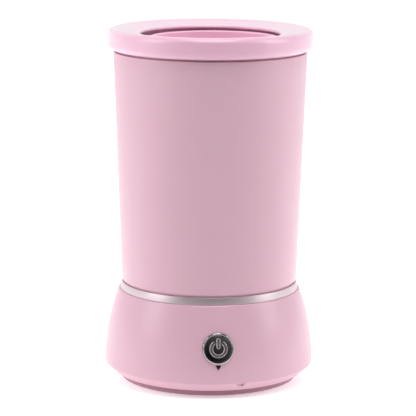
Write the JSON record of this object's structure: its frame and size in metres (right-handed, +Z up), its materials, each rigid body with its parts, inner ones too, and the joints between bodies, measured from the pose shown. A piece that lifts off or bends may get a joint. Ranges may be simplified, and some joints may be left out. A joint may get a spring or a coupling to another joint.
{
  "type": "wax warmer pot",
  "caption": "Electric wax warmer: tapered heated cylinder on a flared base, soft collar, lift-out pot, chrome trim band and a round power push-button.",
  "frame": {"origin": "centre of the foot ring's underside, on the surface the warmer stands on", "axes": "+Z up along the cylinder's axis; the power button faces -Y and the mains inlet +Y"},
  "size_m": [0.1244, 0.1253, 0.2088],
  "materials": {
    "pink_casing": "satin moulded pink plastic",
    "cover_plastic": "matte moulded dusky pink plastic",
    "foot_silicone": "matte mauve silicone",
    "screw_steel": "zinc-plated",
    "band_chrome": "polished",
    "collar_silicone": "soft satin pink silicone",
    "well_aluminium": "spun, satin",
    "seal_rubber": "matte",
    "pot_coating": "pink baked coating, satin",
    "heater_steel": "rolled, satin",
    "contact_brass": "satin",
    "insulation_wool": "felted fibre",
    "black_plastic": "moulded",
    "board_laminate": "coated laminate",
    "relay_plastic": "moulded",
    "block_plastic": "moulded",
    "bezel_chrome": "polished",
    "cap_metal": "dark plated, satin",
    "symbol_metal": "dark plated, polished edges",
    "lens_smoke": "smoked",
    "lamp_epoxy": "tinted epoxy",
    "lead_sleeve": "glass-braid sleeved wire"
  },
  "bodies": {
    "housing": {"base_housing": "pink_casing", "bottom_cover": "cover_plastic", "foot_ring": "foot_silicone", "cover_screws": "screw_steel", "trim_band": "band_chrome", "body_shell": "pink_casing", "shell_screws": "screw_steel", "heater_well": "well_aluminium", "well_gasket": "seal_rubber", "well_screws": "screw_steel", "band_heater": "heater_steel", "clamp_bolt": "screw_steel", "heater_terminals": "contact_brass", "insulation_sleeve": "insulation_wool", "heat_shield": "heater_steel", "shield_screws": "screw_steel", "wire_grommet": "seal_rubber", "thermostat": "black_plastic", "thermostat_tabs": "contact_brass", "sensor_screws": "screw_steel", "thermal_fuse": "well_aluminium", "fuse_clip": "heater_steel", "control_board": "board_laminate", "board_screws": "screw_steel", "relay": "relay_plastic", "capacitor": "black_plastic", "terminal_block": "block_plastic", "button_bezel": "bezel_chrome", "button_seal": "seal_rubber", "ring_nut": "contact_brass", "button_spring": "screw_steel", "contact_block": "black_plastic", "switch_tabs": "contact_brass", "indicator_lens": "lens_smoke", "indicator_lamp": "lamp_epoxy", "power_inlet": "black_plastic", "inlet_pins": "contact_brass", "inlet_screws": "screw_steel", "inlet_leads": "lead_sleeve", "heater_leads": "lead_sleeve", "thermostat_leads": "lead_sleeve", "switch_leads": "lead_sleeve", "indicator_leads": "lead_sleeve"},
    "collar": {"collar_ring": "collar_silicone"},
    "pot": {"inner_pot": "pot_coating"},
    "button": {"button_cap": "cap_metal", "power_symbol": "symbol_metal"}
  },
  "joints": [
    {"name": "collar_lift", "type": "slide", "parent": "housing", "child": "collar", "axis": [0, 0, 1], "range_m": [0, 0.04]},
    {"name": "pot_lift", "type": "slide", "parent": "housing", "child": "pot", "axis": [0, 0, 1], "range_m": [0, 0.125]},
    {"name": "button_press", "type": "slide", "parent": "housing", "child": "button", "axis": [0, 0.986, -0.1666], "range_m": [0, 0.0013], "stiffness_N_per_m": 1200, "springref_m": -0.0006, "deforming": ["button_spring"]}
  ]
}
